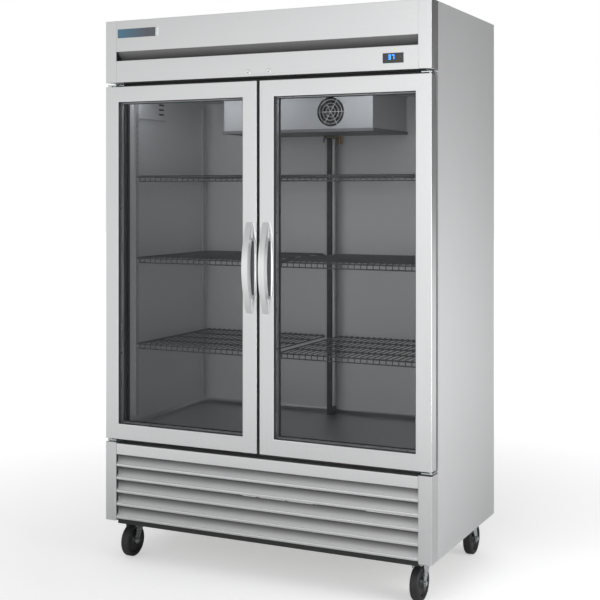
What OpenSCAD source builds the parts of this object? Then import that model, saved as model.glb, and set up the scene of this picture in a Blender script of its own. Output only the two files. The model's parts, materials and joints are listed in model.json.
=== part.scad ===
// Two-door reach-in refrigerator: insulated cabinet on casters, glass doors, bottom-mounted
// refrigeration unit. Millimetres. X runs to the right, Y to the back and Z up, and the origin
// is on the floor under the middle of the whole machine.

/* [Cabinet] */
// Width of the cabinet
cab_w = 1375; // [1200:5:1500]
// Depth from the door faces to the back
cab_d = 759; // [720:1:820]
// Height of the cabinet above its casters
cab_h = 1991; // [1900:1:2100]
// Thickness of the insulated walls
wall_t = 57; // [50:1:65]
// Thickness of the outer sheet metal
skin_t = 1.5; // [1:0.1:2]
// Depth of the header and grille in front of the insulated box
front_d = 68; // [66:1:72]
// Width of the corner trims beside the header and the grille
trim_w = 50; // [40:1:60]

/* [Header and grille] */
// Height of the header
header_h = 245; // [230:1:260]
// Height of the slot's lower edge above the header's lower edge
slot_rise = 85; // [75:1:95]
// Height of the slot across the header
slot_h = 37; // [30:1:45]
// Depth of the slot at its lower edge
slot_d = 44; // [30:1:50]
// Height of the machine compartment behind the grille
base_h = 312; // [305:1:330]
// Number of louvres in the grille
louvres = 5; // [4:1:5]
// Height from one louvre to the next
louvre_pitch = 52; // [50:1:54]

/* [Doors] */
// Thickness of a door without its gasket
door_t = 46; // [44:1:48]
// Width of the gap between the doors
door_gap = 12; // [8:1:14]
// Width of the door frame around the window
stile_w = 60; // [55:1:66]
// Height of a handle's centre above the cabinet's lower edge
handle_z = 1025; // [900:5:1100]
// Length of a handle
handle_len = 353; // [300:1:380]
// How far a handle stands out
handle_out = 45; // [40:1:55]

/* [Shelves] */
// Heights of the shelves above the cabinet's lower edge
shelf_levels = [700, 1048, 1377];
// Distance between two shelf wires
wire_pitch = 25; // [20:1:30]

/* [Casters] */
// Height of a caster from the floor to its mounting face
caster_h = 156; // [154:1:162]
// Diameter of a wheel
wheel_d = 127; // [120:1:130]
// Distance of a caster's swivel axis from the cabinet's sides
caster_in = 75; // [70:1:90]

/* [Hidden] */
$fn = 48;

// colours
steel = [0.78, 0.78, 0.77];
side_grey = [0.63, 0.63, 0.63];
dark_grey = [0.27, 0.27, 0.28];
black = [0.08, 0.08, 0.08];
zinc = [0.72, 0.76, 0.76];

// cabinet frame: x from the middle, y from the door faces, z from the cabinet's lower edge
half_w = cab_w / 2;
y_shift = -(cab_d - handle_out) / 2;
flange_w = 14;
panel_x = half_w - trim_w - 0.5;
header_z = cab_h - header_h;
slot_lip = 8;
base_plate_t = 4;

// insulated box
box_z = base_h + 6;
inner_x = half_w - wall_t;
rear_y = cab_d - wall_t;
floor_z = base_h + 50;
ceiling_z = header_z - 41;
breaker_t = 6;
box_y = front_d + breaker_t;
liner_t = 1;
chase_x = 46;
chase_y = [rear_y + 13, rear_y + 43];
chase_top = [ceiling_z - 190, ceiling_z - 45];
mullion_x = 34;
post_x = 12;

// doors, described for the right-hand one
door_x = [door_gap / 2, half_w];
door_z = [base_h + 14, header_z - 17];
frame_t = 2;
window_x = [door_x[0] + stile_w, door_x[1] - stile_w];
window_z = [door_z[0] + stile_w + 1, door_z[1] - stile_w - 1];
reveal_d = 12;
pane_t = 4;
pane_y = [reveal_d + 1, reveal_d + 21];
pane_lap = 8;
border_in = 8;
gasket_in = 14;
gasket_w = 14;
gasket_back = front_d - 2;
hinge_x = half_w - 13;
hinge_y = 22;
hinge_r = 5;
running_gap = 0.05;
handle_x = door_x[0] + 29;

// locks and switch
lock_x = 44;
lock_z = header_z + 16;
lock_r = 6;
cam_y = [24, 27];
cam_len = 42;
cam_slot = [22, 29];
switch_x = 132;
switch_y = [18.5, 27.5];
switch_ear_y = [15.5, 30.5];
switch_rise = 5;
switch_pin_r = 2;

// shelves
pilaster_y = [115, 655];
pilaster_w = 20;
pilaster_out = 10;
shelf_x = [post_x + pilaster_out + 2, inner_x - pilaster_out - 2];
shelf_y = [106, 684];
rail_h = 6;
wire_h = 4;

// refrigeration
evap_x = 330;
evap_y = 330;
evap_z = ceiling_z - 145;
evap_fan_x = 150;
evap_fan_z = ceiling_z - 78;
evap_fan_r = 55;
cond_x = [-560, -160];
cond_y = [80, 120];
cond_z = [40, 280];
cond_fan = [-360, 185, 160];
cond_fan_r = 110;
comp_at = [150, 400];
comp_foot = [82, 58];
can_r = 85;
rear_cover_y = cab_d - 21;

// casters, in the floor's frame
trail = 30;
axle_z = wheel_d / 2;
hub_x = 18;
leg_t = 3;
brake_at = [12, 122];
brake_t = 2;
brake_pin_r = 4;
caster_x = half_w - caster_in;
caster_y = [110, cab_d - 95];
plate_t = 5;
bolt_x = 38;
bolt_y = 30;
kingpin_r = 7;
axle_r = 6;

// ---------- helpers ----------

module block(lo, hi) { translate(lo) cube(hi - lo); }

// places what is described in the cabinet's frame
module cab() { translate([0, y_shift, caster_h]) children(); }

module both_sides() {
    children();
    mirror([1, 0, 0]) children();
}

// extrudes an outline drawn in (y, z) along x
module along_x(x0, x1) { translate([x0, 0, 0]) rotate([90, 0, 90]) linear_extrude(x1 - x0) children(); }

// extrudes an outline drawn in (x, z) along y
module along_y(y0, y1) { translate([0, y1, 0]) rotate([90, 0, 0]) linear_extrude(y1 - y0) children(); }

// rod along y
module rod_y(x, z, y0, y1, r) { translate([x, y0, z]) rotate([-90, 0, 0]) cylinder(h = y1 - y0, r = r); }

// rod along x
module rod_x(x0, x1, y, z, r) { translate([x0, y, z]) rotate([0, 90, 0]) cylinder(h = x1 - x0, r = r); }

// rectangular ring in the door's plane, w wide inwards from its outer edge
module ring_block(x, z, y0, y1, w) {
    difference() {
        block([x[0], y0, z[0]], [x[1], y1, z[1]]);
        block([x[0] + w, y0 - 1, z[0] + w], [x[1] - w, y1 + 1, z[1] - w]);
    }
}

// tube through axis-aligned points, its straight runs let into square elbow fittings
module tube(points, r) {
    fitting = r + 1;
    last = len(points) - 1;
    for (i = [0 : last - 1]) {
        run = points[i + 1] - points[i];
        inset = run / norm(run) * (r + 0.5);
        straight(points[i] + inset * min(i, 1), points[i + 1] - inset * min(last - 1 - i, 1), r);
    }
    for (i = [1 : last - 1]) {
        translate(points[i]) cube(2 * fitting, center = true);
    }
}

// rod between two points on a line along x, y or z
module straight(a, b, r) {
    way = b - a;
    low = way[0] + way[1] + way[2] > 0 ? a : b;
    turn_x = abs(way[1]) > 0.01 ? -90 : 0;
    turn_y = abs(way[0]) > 0.01 ? 90 : 0;
    translate(low) rotate([turn_x, turn_y, 0]) cylinder(h = norm(way), r = r);
}

// finned block with tubes through it: fins stand across x
module coil(x, y, z, pitch, rows) {
    fin_t = 1;
    count = floor((x[1] - x[0]) / pitch);
    tube_r = 5;
    row_gap = (z[1] - z[0]) / rows;
    for (i = [0 : count]) {
        fin_x = x[0] + i * pitch;
        block([fin_x, y[0], z[0]], [fin_x + fin_t, y[1], z[1]]);
    }
    for (i = [0 : rows - 1]) {
        rod_x(x[0] - 12, x[1] + 12, (y[0] + y[1]) / 2, z[0] + row_gap * (i + 0.5), tube_r);
    }
}

// axial fan around y with its hub's front at the origin
module fan(r, blades, depth) {
    hub_r = r * 0.25;
    root = hub_r - 3;
    chord = r * 0.6;
    blade_t = 2;
    pitch = 35;
    rotate([-90, 0, 0]) cylinder(h = depth, r = hub_r);
    intersection() {
        rotate([-90, 0, 0]) cylinder(h = depth, r = r);
        for (i = [0 : blades - 1]) {
            rotate([0, i * 360 / blades, 0])
                translate([root, depth / 2, 0])
                rotate([pitch, 0, 0])
                translate([0, -blade_t / 2, -chord / 2])
                cube([r, blade_t, chord]);
        }
    }
}

// ---------- cabinet ----------

// outer sides, with a folded flange along their front and back edges
module side_panels() {
    top = cab_h - skin_t;
    color(side_grey) cab() both_sides() {
        block([half_w - skin_t, front_d, 0], [half_w, cab_d, cab_h]);
        block([half_w - flange_w, front_d, base_plate_t], [half_w, front_d + skin_t, top]);
        block([half_w - flange_w, cab_d - skin_t, base_plate_t], [half_w, cab_d, top]);
    }
}

module top_panel() {
    x = half_w - skin_t;
    color(steel) cab() block([-x, front_d, cab_h - skin_t], [x, cab_d, cab_h]);
}

module back_panel() {
    x = half_w - flange_w;
    color(side_grey) cab() block([-x, cab_d - skin_t, base_h], [x, cab_d, cab_h - skin_t]);
}

// foam core of the box, with a chase behind the liner for the tubes
module insulation() {
    x = half_w - skin_t;
    cavity_x = inner_x + liner_t;
    color("khaki") cab() difference() {
        block([-x, box_y, box_z], [x, cab_d - skin_t, cab_h - skin_t]);
        block([-cavity_x, box_y - 1, floor_z - liner_t],
            [cavity_x, rear_y + liner_t, ceiling_z + liner_t]);
        block([-chase_x, chase_y[0], box_z - 1], [chase_x, chase_y[1], chase_top[1]]);
        block([-chase_x, rear_y, chase_top[0]], [chase_x, chase_y[1], chase_top[1]]);
    }
}

module inner_liner() {
    x = inner_x + liner_t;
    color([0.6, 0.6, 0.62]) cab() difference() {
        block([-x, box_y, floor_z - liner_t], [x, rear_y + liner_t, ceiling_z + liner_t]);
        block([-inner_x, box_y - 1, floor_z - 2], [inner_x, rear_y, ceiling_z]);
        block([-chase_x, rear_y - 1, chase_top[0]], [chase_x, rear_y + 2, chase_top[1]]);
    }
}

// floor pan with upstands at the sides and the back
module cabinet_floor() {
    x = inner_x - 0.5;
    y = [box_y + 12, rear_y - 0.5];
    upstand = 22;
    color(steel) cab() difference() {
        block([-x, y[0], floor_z - liner_t], [x, y[1], floor_z + upstand]);
        block([-x + 1, y[0] - 1, floor_z + 0.5], [x - 1, y[1] - 1, floor_z + upstand + 1]);
    }
}

// plastic frame that joins the outer skin to the liner around the opening
module breaker_frame() {
    outer = [[-half_w + flange_w, half_w - flange_w], [base_h + 4, header_z - 2]];
    color(black) cab() {
        difference() {
            block([outer[0][0], front_d, outer[1][0]], [outer[0][1], box_y, outer[1][1]]);
            block([-inner_x, front_d - 1, floor_z], [inner_x, box_y + 1, ceiling_z]);
        }
        ring_block([-inner_x, inner_x], [floor_z, ceiling_z], front_d, box_y + 10, 2);
    }
}

// the post between the doors, with a stem for shelf pilasters, and a second stem at the back
module centre_mullion() {
    z = [floor_z + 2, ceiling_z - 2];
    stem_y = pilaster_y[0] + pilaster_w + 5;
    color(black) cab() {
        block([-mullion_x, front_d, z[0]], [mullion_x, front_d + 36, z[1]]);
        block([-post_x, front_d + 35, z[0]], [post_x, stem_y, z[1]]);
        block([-post_x, pilaster_y[1] - 5, z[0]], [post_x, rear_y - 2, evap_z - 20]);
    }
}

// ---------- header ----------

module header_upper() {
    z = [header_z + slot_rise + slot_h, cab_h];
    color(steel) cab() {
        block([-panel_x, 0, z[0]], [panel_x, skin_t, z[1]]);
        block([-panel_x, 0, z[0]], [panel_x, slot_lip, z[0] + skin_t]);
        block([-panel_x, 0, z[1] - skin_t], [panel_x, front_d, z[1]]);
    }
}

module header_channel() {
    z = header_z + slot_rise;
    t = skin_t / cos(atan((slot_d - slot_lip) / slot_h));
    color(dark_grey) cab() along_x(-panel_x, panel_x)
        polygon([[slot_lip, z + slot_h], [slot_lip, z + slot_h + skin_t], [slot_lip + t, z + slot_h + skin_t],
            [slot_lip + t, z + slot_h], [slot_d + t, z], [slot_d + t, z - skin_t], [slot_d, z - skin_t],
            [slot_d, z]]);
}

// lower half of the header, cut for the locks, their cams, the display and the light switch
module header_lower() {
    z = [header_z, header_z + slot_rise];
    cut_x = display_x() + [2.5, -2.5];
    cut_z = display_z() + [2.5, -2.5];
    color(steel) cab() difference() {
        union() {
            block([-panel_x, 0, z[0]], [panel_x, skin_t, z[1]]);
            block([-panel_x, 0, z[0]], [panel_x, front_d - 8, z[0] + skin_t]);
            block([-panel_x, 0, z[1] - skin_t], [panel_x, slot_d, z[1]]);
        }
        block([cut_x[0], -1, cut_z[0]], [cut_x[1], skin_t + 1, cut_z[1]]);
        both_sides() {
            rod_y(lock_x, lock_z, -1, skin_t + 1, 9.6);
            block([lock_x - 8, cam_slot[0], z[0] - 1], [lock_x + 40, cam_slot[1], z[0] + 3]);
        }
        block([switch_x - 12, switch_ear_y[0] + skin_t, z[0] - 1],
            [switch_x + 12, switch_ear_y[1] - skin_t, z[0] + 3]);
    }
    color(steel) cab() for (y = switch_ear_y + [0, -skin_t]) switch_ear(y);
}

// ear that is folded up beside the light switch and carries its pivot
module switch_ear(y) {
    difference() {
        block([switch_x - 6, y, header_z], [switch_x + 6, y + skin_t, header_z + switch_rise + 4]);
        rod_y(switch_x, header_z + switch_rise, y - 1, y + skin_t + 1, switch_pin_r + running_gap);
    }
}

// angle-shaped corner pieces beside the header and beside the grille
module corner_trims() {
    color(steel) cab() both_sides() {
        corner_trim([header_z, cab_h], true, true);
        corner_trim([0, base_h], false, true);
    }
}

module corner_trim(z, bottom_cap, top_cap) {
    x = half_w - trim_w;
    block([x, 0, z[0]], [half_w, skin_t, z[1]]);
    block([half_w - skin_t, 0, z[0]], [half_w, front_d, z[1]]);
    if (bottom_cap) block([x, 0, z[0]], [half_w, front_d - 6, z[0] + skin_t]);
    if (top_cap) block([x, 0, z[1] - skin_t], [half_w, front_d, z[1]]);
}

// plain plate at the left of the header, with a bar at its right-hand end
module name_plate() {
    x = -half_w + 58;
    z = header_z + 176;
    color([0.1, 0.25, 0.35]) cab() {
        block([x, -2.5, z], [x + 177, 0, z + 35]);
        block([x + 178, -3.5, z], [x + 188, 0, z + 35]);
    }
}

function display_x() = [half_w - 184, half_w - 105];
function display_z() = [header_z + 24, header_z + 60];

// temperature display: bezel, body through the header and a sunk window
module display_module() {
    x = display_x();
    z = display_z();
    color(black) cab() difference() {
        union() {
            block([x[0], -2, z[0]], [x[1], 0, z[1]]);
            block([x[0] + 3, 0, z[0] + 3], [x[1] - 3, 26, z[1] - 3]);
        }
        block([x[0] + 4, -3, z[0] + 4], [x[1] - 4, -1, z[1] - 4]);
    }
}

module lock_housings() {
    color("silver") cab() both_sides() difference() {
        union() {
            rod_y(lock_x, lock_z, -1.5, 0, 11.5);
            rod_y(lock_x, lock_z, 0, 22, 9.5);
            translate([lock_x, skin_t, lock_z]) rotate([-90, 0, 0]) cylinder(h = 5, r = 13, $fn = 6);
        }
        rod_y(lock_x, lock_z, -2, 23, lock_r + running_gap);
    }
}

// key plug with its cam, resting level and unlocked; a quarter turn drops the cam into the door
module lock_plug() {
    color("silver") cab() {
        difference() {
            rod_y(lock_x, lock_z, -2, cam_y[0], lock_r);
            block([lock_x - 4, -3, lock_z - 0.8], [lock_x + 4, 8, lock_z + 0.8]);
        }
        block([lock_x - 6, cam_y[0], lock_z - 5], [lock_x + cam_len, cam_y[1], lock_z + 5]);
    }
}

module lock_plug_right() { lock_plug(); }
module lock_plug_left() { mirror([1, 0, 0]) lock_plug(); }

// rocker of the light switch under the header, on pivots in two ears of the sheet
module light_switch() {
    color(black) cab() {
        block([switch_x - 10.5, switch_y[0], header_z - 3], [switch_x + 10.5, switch_y[1], header_z + 9]);
        rod_y(switch_x, header_z + switch_rise, switch_ear_y[0], switch_ear_y[1], switch_pin_r);
    }
}

// ---------- grille and base ----------

// lip in front, blade sloping up to the back, and a fold under the lip
module louvre_outline(z) {
    lip = 16;
    rise = 30;
    diagonal = skin_t * sqrt(2);
    polygon([[0, z], [0, z + lip], [rise, z + lip + rise], [rise + diagonal, z + lip + rise],
        [skin_t, z + lip + skin_t - diagonal], [skin_t, z + skin_t], [10, z + skin_t], [10, z]]);
}

module grille_panel() {
    x = panel_x - 0.5;
    top = base_h - 3;
    first = 8;
    band_z = first + louvres * louvre_pitch - 3;
    color(steel) cab() {
        for (i = [0 : louvres - 1]) {
            along_x(-x, x) louvre_outline(first + i * louvre_pitch);
        }
        block([-x, 0, band_z], [x, skin_t, top]);
        block([-x, 0, top - skin_t], [x, 58, top]);
        both_sides() {
            block([x - skin_t, 0, first], [x, 58, top]);
            block([x / 3, 30, first], [x / 3 + skin_t, 58, top]);
        }
    }
}

// plate round an opening, with a lip down along the front and the back and two cross members
module base_frame() {
    x = half_w - 4;
    y = [12, cab_d - 3];
    rail = 125;
    front_rail = 185;
    skirt = 12;
    skirt_t = 3;
    member = 40;
    color(black) cab() difference() {
        union() {
            difference() {
                block([-x, y[0], 0], [x, y[1], base_plate_t]);
                block([-x + rail, y[0] + front_rail, -1], [x - rail, y[1] - rail, base_plate_t + 1]);
            }
            block([-panel_x, y[0], -skirt], [panel_x, y[0] + skirt_t, 0]);
            block([-panel_x, y[1] - skirt_t, -skirt], [panel_x, y[1], 0]);
            for (foot = [-1, 1]) {
                y_mid = comp_at[1] + foot * comp_foot[1];
                block([-x + 50, y_mid - member / 2, 0], [x - 50, y_mid + member / 2, base_plate_t]);
            }
        }
        at_casters() bolt_holes(4.5, -1, base_plate_t + 1);
    }
}

// four places in the cabinet's frame
module at_casters() {
    for (side = [-1, 1], y = caster_y) {
        translate([side * caster_x, y, 0]) children();
    }
}

module bolt_holes(r, z0, z1) {
    for (sx = [-1, 1], sy = [-1, 1]) {
        translate([sx * bolt_x, sy * bolt_y, z0]) cylinder(h = z1 - z0, r = r);
    }
}

// ---------- shelving ----------

// slotted channel strip on a wall at x, facing towards x = 0 or away from it
module pilaster(x, y, facing, z) {
    slot = [6, 12];
    slot_pitch = 25;
    slots = floor((z[1] - z[0] - 30) / slot_pitch);
    face = x + facing * pilaster_out;
    plate = 2;
    flange = 1.5;
    lo = min(face, face - facing * plate);
    translate([lo, 0, 0]) along_x(0, plate) difference() {
        translate([y, z[0]]) square([pilaster_w, z[1] - z[0]]);
        for (i = [0 : slots - 1]) {
            translate([y + (pilaster_w - slot[0]) / 2, z[0] + 20 + i * slot_pitch]) square(slot);
        }
    }
    for (edge = [y, y + pilaster_w - flange]) {
        block([min(x, face), edge, z[0]], [max(x, face), edge + flange, z[1]]);
    }
}

module shelf_pilasters() {
    z = [floor_z + 40, ceiling_z - 25];
    color("gray") cab() both_sides() {
        pilaster(inner_x, pilaster_y[0], -1, z);
        pilaster(inner_x, pilaster_y[1], -1, z);
        pilaster(post_x, pilaster_y[0], 1, z);
        pilaster(post_x, pilaster_y[1], 1, [z[0], evap_z - 25]);
    }
}

module shelf_clips() {
    clip = 15;
    clip_h = 10;
    wall_x = inner_x - pilaster_out;
    centre_x = post_x + pilaster_out;
    color("silver") cab() both_sides() {
        for (level = shelf_levels, y = pilaster_y) {
            z = level - rail_h - wire_h;
            block([wall_x - clip, y + 3, z - clip_h], [wall_x, y + 17, z]);
            block([centre_x, y + 3, z - clip_h], [centre_x + clip, y + 17, z]);
        }
    }
}

// wire shelf: wires run from front to back over a perimeter rail and three cross rails
module shelf(level) {
    size = [shelf_x[1] - shelf_x[0], shelf_y[1] - shelf_y[0]];
    rail = 7;
    wire = 4;
    wires = floor((size[0] - rail) / wire_pitch);
    lip = 26;
    translate([shelf_x[0], shelf_y[0], level - wire_h]) linear_extrude(wire_h) difference() {
        square(size);
        for (i = [0 : wires - 1]) {
            translate([rail + i * wire_pitch, rail]) square([wire_pitch - wire, size[1] - 2 * rail]);
        }
    }
    translate([shelf_x[0], shelf_y[0], level - wire_h - rail_h]) linear_extrude(rail_h) difference() {
        square(size);
        for (i = [0 : 3]) {
            translate([rail, rail + i * (size[1] - rail) / 4])
                square([size[0] - 2 * rail, (size[1] - rail) / 4 - rail]);
        }
    }
    block([shelf_x[0] + 20, shelf_y[0], level - lip], [shelf_x[1] - 20, shelf_y[0] + 5, level - lip + 5]);
    for (i = [1 : wires - 2]) {
        x = shelf_x[0] + rail + i * wire_pitch - wire;
        block([x, shelf_y[0], level - lip], [x + wire, shelf_y[0] + 4, level]);
    }
}

module shelves_right() {
    color(dark_grey) cab() for (level = shelf_levels) shelf(level);
}

module shelves_left() {
    mirror([1, 0, 0]) shelves_right();
}

module light_fixtures() {
    color("white") cab() both_sides()
        block([70, box_y + 14, ceiling_z - 22], [inner_x - 30, box_y + 50, ceiling_z]);
}

// ---------- refrigeration ----------

module evaporator_coil() {
    color("silver") cab()
        coil([-270, 270], [480, 640], [evap_z + 20, ceiling_z - 12], 18, 4);
}

// sheet cover with two round openings for the fans
module evaporator_housing() {
    z = [evap_z, ceiling_z];
    y = [evap_y, rear_y];
    color([0.62, 0.63, 0.65]) cab() {
        along_y(y[0], y[0] + skin_t) difference() {
            translate([-evap_x, z[0]]) square([2 * evap_x, z[1] - z[0]]);
            for (side = [-1, 1]) translate([side * evap_fan_x, evap_fan_z]) circle(evap_fan_r + 3);
        }
        both_sides() block([evap_x - skin_t, y[0], z[0]], [evap_x, y[1], z[1]]);
        for (side = [-1, 1]) translate([side * evap_fan_x, 0, evap_fan_z]) fan_guard(y[0]);
    }
}

// spokes and rings across a fan opening
module fan_guard(y) {
    half = 1.2;
    reach = evap_fan_r + 5;
    for (turn = [0 : 60 : 120]) {
        rotate([0, turn, 0]) block([-reach, y, -half], [reach, y + skin_t, half]);
    }
    for (r = [20, 34, 48]) {
        along_y(y, y + skin_t) difference() {
            circle(r + half);
            circle(r - half);
        }
    }
}

module evaporator_fan(side) {
    color(black) cab()
        translate([side * evap_fan_x, evap_y + 12, evap_fan_z]) fan(evap_fan_r, 5, 22);
}

module evaporator_fan_left() { evaporator_fan(-1); }
module evaporator_fan_right() { evaporator_fan(1); }

module evaporator_fan_motors() {
    y = evap_y + 35;
    motor_r = 30;
    motor_len = 55;
    strap = [24, 3];
    color("dimgray") cab() both_sides() {
        rod_y(evap_fan_x, evap_fan_z, y, y + motor_len, motor_r);
        block([evap_fan_x - strap[0] / 2, y + 20, evap_fan_z + 20],
            [evap_fan_x + strap[0] / 2, y + 20 + strap[1], ceiling_z]);
    }
}

// pan under the evaporator, drain tube down the chase, and pan in the machine compartment
module condensate_drain() {
    chase = (chase_y[0] + chase_y[1]) / 2;
    pan_z = evap_z - 12;
    x = -32;
    color("gray") cab() {
        open_tray([-evap_x - 6, evap_y - 6, pan_z], [evap_x + 6, rear_y, evap_z], 1.5);
        open_tray([-140, 560, 4], [60, 700, 40], 2);
        tube([[x, 680, pan_z], [x, 680, pan_z - 18], [x, chase, pan_z - 18], [x, chase, 80],
            [x, 670, 80], [x, 670, 30]], 7);
    }
}

module open_tray(lo, hi, t) {
    difference() {
        block(lo, hi);
        block(lo + [t, t, t], [hi[0] - t, hi[1] - t, hi[2] + 1]);
    }
}

// hermetic can on four feet, with its terminal cover
module compressor() {
    can_h = 120;
    dome_r = 120;
    dome_drop = sqrt(dome_r * dome_r - can_r * can_r);
    color(black) cab() translate([comp_at[0], comp_at[1], 0]) {
        translate([0, 0, 34]) intersection() {
            cylinder(h = can_h + 60, r = can_r);
            translate([0, 0, can_h - dome_drop]) sphere(dome_r);
        }
        block([-95, -70, 28], [95, 70, 35]);
        for (sx = [-1, 1], sy = [-1, 1]) {
            translate([sx * comp_foot[0], sy * comp_foot[1], 4]) cylinder(h = 25, r = 10);
        }
        block([70, -35, 60], [110, 35, 130]);
    }
}

module condenser_coil() {
    color("silver") cab() coil(cond_x, cond_y, cond_z, 20, 6);
}

// sheet shroud behind the condenser, with the motor on a strut across its opening
module condenser_shroud() {
    x = cond_x + [-4, 4];
    z = cond_z + [-4, 4];
    y = [cond_y[1], cond_y[1] + 50];
    motor_y = cond_fan[1] + 36;
    color(black) cab() {
        difference() {
            block([x[0], y[0], z[0]], [x[1], y[1], z[1]]);
            block([x[0] + 2, y[0] - 1, z[0] + 2], [x[1] - 2, y[1] - 2, z[1] - 2]);
            rod_y(cond_fan[0], cond_fan[2], y[1] - 3, y[1] + 1, cond_fan_r + 4);
        }
        rod_y(cond_fan[0], cond_fan[2], motor_y, motor_y + 60, 36);
        block([x[0] + 20, motor_y + 20, cond_fan[2] - 10], [x[1] - 20, motor_y + 23, cond_fan[2] + 10]);
        both_sides_of(cond_fan[0])
            block([x[1] - 23, y[1] - 2, cond_fan[2] - 10], [x[1] - 20, motor_y + 23, cond_fan[2] + 10]);
        block([cond_fan[0] - 60, y[0] + 20, 4], [cond_fan[0] + 60, y[0] + 24, z[0] + 1]);
    }
}

module both_sides_of(x) {
    children();
    translate([2 * x, 0, 0]) mirror([1, 0, 0]) children();
}

module condenser_fan() {
    color(black) cab() translate([cond_fan[0], cond_fan[1] - 12, cond_fan[2]]) fan(cond_fan_r, 5, 40);
}

// discharge line to the condenser, then liquid and suction lines up the chase
module refrigerant_tubes() {
    chase = (chase_y[0] + chase_y[1]) / 2;
    port_z = 110;
    port_r = can_r + 0.3;
    cond_end = cond_x[1] + 14;
    cond_row = 100;
    top = evap_z + 70;
    evap_end = 655;
    color([0.72, 0.45, 0.2]) cab() {
        tube([[comp_at[0] - port_r, comp_at[1], port_z], [-100, comp_at[1], port_z],
            [-100, cond_row, port_z], [cond_end, cond_row, port_z]], 4);
        tube([[cond_end, cond_row, 60], [-60, cond_row, 60], [-60, chase, 60], [-15, chase, 60],
            [-15, chase, top], [-15, evap_end, top]], 3);
        tube([[comp_at[0], comp_at[1] + port_r, port_z], [comp_at[0], chase, port_z],
            [12, chase, port_z], [12, chase, top], [12, evap_end, top]], 6);
    }
}

// louvred cover over the back of the machine compartment
module rear_cover() {
    x = half_w - flange_w - 4;
    z = [8, base_h - 6];
    color(side_grey) cab() along_y(rear_cover_y, rear_cover_y + skin_t) difference() {
        translate([-x, z[0]]) square([2 * x, z[1] - z[0]]);
        for (column = [-3 : 3], row = [0 : 9]) {
            translate([column * 170 - 60, z[0] + 40 + row * 20]) square([120, 8]);
        }
    }
}

// bushing for the supply cord, in the plain right-hand end of the rear cover
module cord_gland() {
    x = half_w - flange_w - 35;
    z = 160;
    color(black) cab() difference() {
        union() {
            rod_y(x, z, rear_cover_y + skin_t, rear_cover_y + 14, 12);
            rod_y(x, z, rear_cover_y + skin_t, rear_cover_y + 5, 17);
        }
        rod_y(x, z, rear_cover_y, rear_cover_y + 15, 5.5);
    }
}

// ---------- doors ----------

// plates in the gaps above and below the doors, each with its hinge pin
module hinge_brackets() {
    plate = 5;
    top = door_z[1] + 4;
    bottom = door_z[0] - 5.5;
    pin = 12;
    color(zinc) cab() both_sides() {
        hinge_plate([top, top + plate], [top, header_z - 2]);
        translate([hinge_x, hinge_y, door_z[1] - pin]) cylinder(h = pin + 6, r = hinge_r);
        hinge_plate([bottom - plate, bottom], [base_h + 1.5, bottom]);
        translate([hinge_x, hinge_y, bottom - 2]) cylinder(h = pin + 7.5, r = hinge_r);
    }
}

// plate between two heights, with a flange that reaches to the cabinet's front frame
module hinge_plate(z, flange_z) {
    x = [hinge_x - 30, half_w - 2];
    flange_t = 4;
    block([x[0], hinge_y - 12, z[0]], [x[1], front_d, z[1]]);
    block([x[0], front_d - flange_t, flange_z[0]], [x[1], front_d, flange_z[1]]);
}

module hinge_bores() {
    depth = 14;
    for (z = [door_z[0] - 1, door_z[1] - depth]) {
        translate([hinge_x, hinge_y, z]) cylinder(h = depth + 1, r = hinge_r + running_gap);
    }
}

// pocket in the door's top edge that the lock cam drops into
module cam_pocket() {
    block([lock_x - 8, cam_slot[0], door_z[1] - 13], [lock_x + 40, cam_slot[1], door_z[1] + 1]);
}

// folded steel frame, open at the back
module door_frame() {
    t = frame_t;
    color(steel) cab() difference() {
        union() {
            difference() {
                block([door_x[0], 0, door_z[0]], [door_x[1], door_t, door_z[1]]);
                block([door_x[0] + t, t, door_z[0] + t], [door_x[1] - t, door_t + 1, door_z[1] - t]);
            }
            block([window_x[0] - t, 0, window_z[0] - t], [window_x[1] + t, reveal_d, window_z[1] + t]);
        }
        block([window_x[0], -1, window_z[0]], [window_x[1], reveal_d + 1, window_z[1]]);
        hinge_bores();
        cam_pocket();
    }
}

module door_frame_right() { door_frame(); }
module door_frame_left() { mirror([1, 0, 0]) door_frame(); }

// plastic inner frame that closes the door's back and holds the glass
module door_border() {
    t = frame_t;
    lap = pane_lap + 0.5;
    color(dark_grey) cab() difference() {
        block([door_x[0] + t, reveal_d, door_z[0] + t], [door_x[1] - t, door_t, door_z[1] - t]);
        block([window_x[0] - lap, reveal_d - 1, window_z[0] - lap],
            [window_x[1] + lap, pane_y[1] + pane_t + 0.5, window_z[1] + lap]);
        block([window_x[0] + border_in, reveal_d - 1, window_z[0] + border_in],
            [window_x[1] - border_in, door_t + 1, window_z[1] - border_in]);
        hinge_bores();
        cam_pocket();
    }
}

module door_border_right() { door_border(); }
module door_border_left() { mirror([1, 0, 0]) door_border(); }

// the two panes of the sealed glass pack
module door_glass() {
    color([0.7, 0.85, 0.85, 0.35]) cab() for (y = pane_y) {
        block([window_x[0] - pane_lap, y, window_z[0] - pane_lap],
            [window_x[1] + pane_lap, y + pane_t, window_z[1] + pane_lap]);
    }
}

module door_glass_right() { door_glass(); }
module door_glass_left() { mirror([1, 0, 0]) door_glass(); }

module door_gasket() {
    color(black) cab() ring_block(door_x + [gasket_in, -gasket_in], door_z + [gasket_in, -gasket_in],
        door_t, gasket_back, gasket_w);
}

module door_gasket_right() { door_gasket(); }
module door_gasket_left() { mirror([1, 0, 0]) door_gasket(); }

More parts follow.
